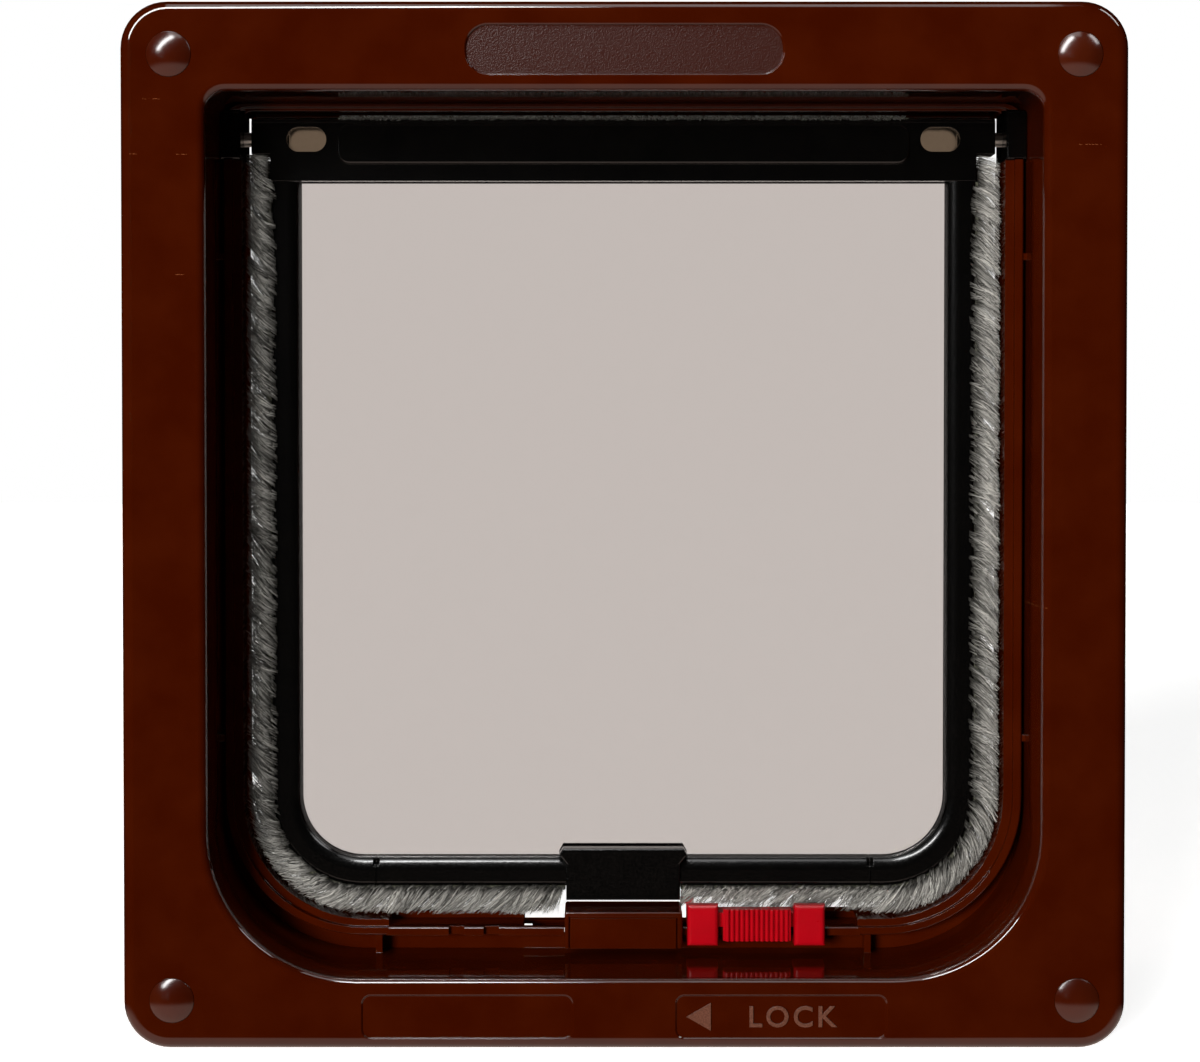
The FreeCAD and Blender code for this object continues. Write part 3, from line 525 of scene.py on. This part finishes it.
def makeTopPile(settings):
    # the tufts fan out over the bar's rounded edge and keep inside the circle that the flap sweeps
    rng = random.Random(settings["seed"])
    variants = tuftVariants(rng, settings)
    bm = startPile()
    for step in range(int(2 * settings["half"] / settings["pitch"])):
        for row in settings["rows"]:
            share = row + rng.uniform(-0.06, 0.06)
            x = -settings["half"] + (step + rng.uniform(0.1, 0.9)) * settings["pitch"]
            y = share * settings["rootHalf"]
            angle = math.radians(share * settings["fan"])
            tip = (settings["tipRadius"] * math.sin(angle), settings["tipRadius"] * math.cos(angle))
            foot = settings["rootZ"] - settings["pivotZ"]
            addTuft(bm, variants[rng.randrange(len(variants))], (x, y, settings["rootZ"]),
                    (rng.uniform(-0.2, 0.3), tip[0] - y, tip[1] - foot), 1)
    for vert in bm.verts:
        vert.co.x = min(max(vert.co.x, -settings["half"]), settings["half"])
        far = math.hypot(vert.co.y, vert.co.z - settings["pivotZ"]) / settings["tipRadius"]
        if far > 1:
            vert.co.y /= far
            vert.co.z = settings["pivotZ"] + (vert.co.z - settings["pivotZ"]) / far
    bmesh.ops.scale(bm, vec=(mm, mm, mm), verts=bm.verts)
    bmesh.ops.translate(bm, vec=(0, pivotY, 0), verts=bm.verts)
    finishPile(bm, "pile_fibres_top", "pile_top", variants)


makeTopPile(topPile)


# Raised word and arrow on the right label pad

label = {"padDepth": 0.4, "raise": 0.35, "word": "LOCK", "wordX": 39.4, "wordZ": 7.6, "wordSize": 6.9,
         "spacing": 1.22, "bold": 0.06, "arrowX": 17.5, "arrowZ": 7.85, "arrowHalf": 3.28,
         "arrowLength": 5.7}


def raisedLabel(settings):
    curve = bpy.data.curves.new("lockWord", "FONT")
    curve.body = settings["word"]
    curve.size = settings["wordSize"] * mm
    curve.space_character = settings["spacing"]
    curve.align_x = "CENTER"
    curve.align_y = "CENTER"
    curve.extrude = settings["raise"] / 2 * mm
    curve.bevel_depth = 0.05 * mm
    curve.offset = settings["bold"] * mm
    curve.resolution_u = 4
    holder = bpy.data.objects.new("lockWord", curve)
    scene.collection.objects.link(holder)
    bpy.context.view_layer.update()
    mesh = bpy.data.meshes.new_from_object(holder.evaluated_get(bpy.context.evaluated_depsgraph_get()))
    bpy.data.objects.remove(holder)
    bm = bmesh.new()
    bm.from_mesh(mesh)
    bpy.data.meshes.remove(mesh)
    bmesh.ops.remove_doubles(bm, verts=bm.verts, dist=0.001 * mm)
    padY = frontY + settings["padDepth"] * mm
    place = (settings["wordX"] * mm, padY - settings["raise"] / 2 * mm, settings["wordZ"] * mm)
    bmesh.ops.transform(bm, matrix=Matrix.Translation(place) @ Matrix.Rotation(math.radians(90), 4, "X"),
                        verts=bm.verts)
    tip = bmesh.ops.create_circle(bm, cap_ends=True, segments=3, radius=1)
    half = settings["arrowHalf"]
    corners = [(-settings["arrowLength"] / 2, 0), (settings["arrowLength"] / 2, half),
               (settings["arrowLength"] / 2, -half)]
    for vert, (x, z) in zip(tip["verts"], corners):
        vert.co = Vector(((settings["arrowX"] + x) * mm, padY, (settings["arrowZ"] + z) * mm))
    face = tip["verts"][0].link_faces[0]
    grown = bmesh.ops.extrude_face_region(bm, geom=[face])
    lifted = [item for item in grown["geom"] if isinstance(item, bmesh.types.BMVert)]
    bmesh.ops.translate(bm, vec=(0, -settings["raise"] * mm, 0), verts=lifted)
    made = pieceFrom(bm, "lock_word_and_arrow", "frame", "mattBrown", 35)
    print("lock_word_and_arrow", len(made.data.polygons), "faces")


raisedLabel(label)


# Screws that join the frames: heads, threads and the crosses on the heads

screw = {"places": ((-106.3, 11.7), (106.3, 11.7), (-106.3, 233.3), (106.3, 233.3)), "headBack": 6.5,
         "headHigh": 2.5, "headRadius": 3.8, "neck": 0.8, "root": 1.55, "crest": 2.0, "pitch": 0.7,
         "end": 53.5, "bareEnd": 1.2, "crossHalf": 0.45, "crossReach": 2.1, "crossHigh": 0.5}


def oneScrew(bm, settings, x, z):
    # the head's profile spun about the axis, the thread wound on its core, and a cross flush in the head
    headFront = settings["headBack"] - settings["headHigh"]
    threadStart = settings["headBack"] + settings["neck"]
    radius = settings["headRadius"]
    profile = [(0, headFront), (radius * 0.62, headFront + 0.12), (radius * 0.88, headFront + 0.6),
               (radius, headFront + 1.4), (radius, settings["headBack"]),
               (settings["root"], settings["headBack"]), (settings["root"], threadStart)]
    before = set(bm.verts)
    points = [bm.verts.new((r, d, 0)) for r, d in profile]
    edges = [bm.edges.new(pair) for pair in zip(points, points[1:])]
    bmesh.ops.spin(bm, geom=points + edges, axis=(0, 1, 0), cent=(0, 0, 0), angle=math.tau, steps=24,
                   use_merge=True)
    turns = (settings["end"] - threadStart - settings["bareEnd"]) / settings["pitch"]
    step = settings["pitch"] / 12
    foot = [bm.verts.new((settings["root"], threadStart, 0)),
            bm.verts.new((settings["crest"], threadStart + settings["pitch"] * 0.45, 0)),
            bm.verts.new((settings["root"], threadStart + settings["pitch"] * 0.9, 0))]
    ridge = [bm.edges.new((foot[0], foot[1])), bm.edges.new((foot[1], foot[2]))]
    bmesh.ops.spin(bm, geom=foot + ridge, axis=(0, 1, 0), cent=(0, 0, 0), dvec=(0, step, 0),
                   angle=math.tau * turns, steps=int(12 * turns))
    bmesh.ops.create_cone(bm, cap_ends=True, segments=16, radius1=settings["root"] * 0.98,
                          radius2=settings["root"] * 0.98, depth=settings["end"] - threadStart,
                          matrix=Matrix.Translation((0, (settings["end"] + threadStart) / 2, 0))
                          @ Matrix.Rotation(math.radians(90), 4, "X"))
    bar = Matrix.Diagonal((2 * settings["crossReach"], settings["crossHigh"], 2 * settings["crossHalf"], 1))
    middle = Matrix.Translation((0, headFront + settings["crossHigh"] / 2, 0))
    for turn in (45, 135):
        bmesh.ops.create_cube(bm, size=1, matrix=middle @ Matrix.Rotation(math.radians(turn), 4, "Y") @ bar)
    fresh = [vert for vert in bm.verts if vert not in before]
    bmesh.ops.transform(bm, matrix=Matrix.Translation((x * mm, frontY, z * mm)) @ Matrix.Scale(mm, 4),
                        verts=fresh)


def makeScrews(settings):
    bm = bmesh.new()
    for x, z in settings["places"]:
        oneScrew(bm, settings, x, z)
    bmesh.ops.remove_doubles(bm, verts=bm.verts, dist=0.002 * mm)
    made = pieceFrom(bm, "threaded_screws", "frame", "steel", 40)
    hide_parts("fixing_screws")
    print("threaded_screws", len(made.data.polygons), "faces")


makeScrews(screw)


# Studio: pale floor, white behind, soft key from the upper left, and strips that the gloss shows

studio = {"floor": "#F4F3F1", "floorSize": 8.0, "floorGlow": 0.8, "bounce": 0.12, "fill": 0.07,
          "mirrorTint": "#FFE6D8", "mirrorFrom": -0.30, "mirrorFull": -0.44, "mirrorLevel": 0.9}


def makeFloor(settings):
    material, tree = newTree("paleFloor")
    place = put(tree, "ShaderNodeTexCoord").outputs["Object"]
    path = put(tree, "ShaderNodeLightPath")
    rough = blendValue(tree, noise(tree, place, 60.0), 0.55, 0.7)
    paint = mixed(tree, path.outputs["Is Diffuse Ray"], linear(settings["floor"]),
                  (settings["bounce"], settings["bounce"], settings["bounce"], 1))
    plain = put(tree, "ShaderNodeBsdfDiffuse", {"Color": paint, "Roughness": rough})
    glow = put(tree, "ShaderNodeEmission", {"Strength": maths(tree, "MULTIPLY", path.outputs["Is Camera Ray"],
                                                              settings["floorGlow"])})
    lit = put(tree, "ShaderNodeAddShader", {0: plain.outputs[0], 1: glow.outputs[0]})
    white = put(tree, "ShaderNodeEmission", {"Strength": 1.0})
    seen = put(tree, "ShaderNodeMixShader", {0: path.outputs["Is Transmission Ray"], 1: lit.outputs[0],
                                             2: white.outputs[0]})
    mirrored = put(tree, "ShaderNodeMixShader", {0: path.outputs["Is Glossy Ray"], 1: seen.outputs[0],
                                                 2: put(tree, "ShaderNodeBsdfTransparent").outputs[0]})
    finishMaterial(tree, mirrored.outputs[0])
    bpy.ops.mesh.primitive_plane_add(size=settings["floorSize"], location=(0, 0, 0))
    floor = bpy.context.object
    floor.name = "floor"
    floor.data.materials.append(material)


makeFloor(studio)


lightAim = (0, -0.03, 0.12)
glossLights = {   # place and size in metres; the long side lies along the last direction
    "leftStrip": {"place": (-0.39, -0.595, 0.81), "size": (0.17, 0.957), "radiance": 34,
                  "along": (0.68, 0.27, 0.617)},
    "rightBox": {"place": (0.746, -0.205, 0.90), "size": (0.2, 0.42), "radiance": 9, "along": (0, 0, 1)},
    "zenith": {"place": (0, -0.25, 1.2), "size": (0.6, 0.5), "radiance": 2.5, "along": (0, 1, 0)},
}
suns = {"keySun": {"from": (-0.44, -0.89, 0.12), "strength": 3.05, "angle": 20},
        "backSun": {"from": (0.35, 0.85, 0.4), "strength": 1.3, "angle": 30}}


def areaLight(name, settings):
    # seen in the gloss alone; the suns and the fill light the rest
    data = bpy.data.lights.new(name, "AREA")
    data.shape = "RECTANGLE"
    data.size, data.size_y = settings["size"]
    data.energy = settings["radiance"] * math.pi * data.size * data.size_y
    made = bpy.data.objects.new(name, data)
    back = (Vector(settings["place"]) - Vector(lightAim)).normalized()
    side = Vector(settings["along"]).cross(back).normalized()
    turn = Matrix((side, back.cross(side), back)).transposed()
    made.matrix_world = Matrix.Translation(settings["place"]) @ turn.to_4x4()
    made.visible_diffuse = False
    scene.collection.objects.link(made)


def softSun(name, settings):
    # lights the matt side of things and leaves no glint of its own
    data = bpy.data.lights.new(name, "SUN")
    data.energy = settings["strength"]
    data.angle = math.radians(settings["angle"])
    made = bpy.data.objects.new(name, data)
    made.rotation_euler = (-Vector(settings["from"])).to_track_quat("-Z", "Y").to_euler()
    made.visible_glossy = False
    made.visible_transmission = False
    scene.collection.objects.link(made)


for lightName, values in glossLights.items():
    areaLight(lightName, values)
for lightName, values in suns.items():
    softSun(lightName, values)


def makeWorld(settings):
    # white seen directly, through the flap and from below in the gloss; a low fill for the rest
    world = bpy.data.worlds.new("studioWorld")
    scene.world = world
    world.use_nodes = True
    tree = world.node_tree
    tree.nodes.clear()
    path = put(tree, "ShaderNodeLightPath")
    upward = put(tree, "ShaderNodeSeparateXYZ", {0: put(tree, "ShaderNodeTexCoord").outputs["Generated"]})
    below = put(tree, "ShaderNodeMapRange", {
        "Value": upward.outputs["Z"], "From Min": settings["mirrorFrom"], "From Max": settings["mirrorFull"],
        "To Min": 0.0, "To Max": settings["mirrorLevel"]})
    glossy = maths(tree, "MULTIPLY", path.outputs["Is Glossy Ray"], below.outputs[0])
    seen = maths(tree, "MAXIMUM", path.outputs["Is Camera Ray"], path.outputs["Is Transmission Ray"])
    fill = maths(tree, "MULTIPLY", path.outputs["Is Diffuse Ray"], settings["fill"])
    level = maths(tree, "MAXIMUM", maths(tree, "MAXIMUM", seen, glossy), fill)
    mirror = maths(tree, "SUBTRACT", path.outputs["Is Glossy Ray"], path.outputs["Is Transmission Ray"])
    tint = mixed(tree, maths(tree, "MAXIMUM", mirror, 0.0), (1, 1, 1, 1), linear(settings["mirrorTint"]))
    sky = put(tree, "ShaderNodeBackground", {"Color": tint, "Strength": level})
    put(tree, "ShaderNodeOutputWorld", {"Surface": sky.outputs[0]})


makeWorld(studio)
print("studio and lights set")


# Camera at the photo's place

camera = {"place": (-5.7 * mm, -0.548, 0.145), "pitch": -1.1, "lens": 66.72, "shiftX": 0.0, "shiftY": -0.046}


def makeCamera(settings):
    data = bpy.data.cameras.new("photoCamera")
    data.lens = settings["lens"]
    data.sensor_width = 36
    data.shift_x = settings["shiftX"]
    data.shift_y = settings["shiftY"]
    data.clip_start = 0.01
    made = bpy.data.objects.new("photoCamera", data)
    made.location = settings["place"]
    made.rotation_euler = (math.radians(90 + settings["pitch"]), 0, 0)
    scene.collection.objects.link(made)
    scene.camera = made


makeCamera(camera)
scene.render.resolution_x = 1200
scene.render.resolution_y = 1062
scene.view_settings.view_transform = "Standard"
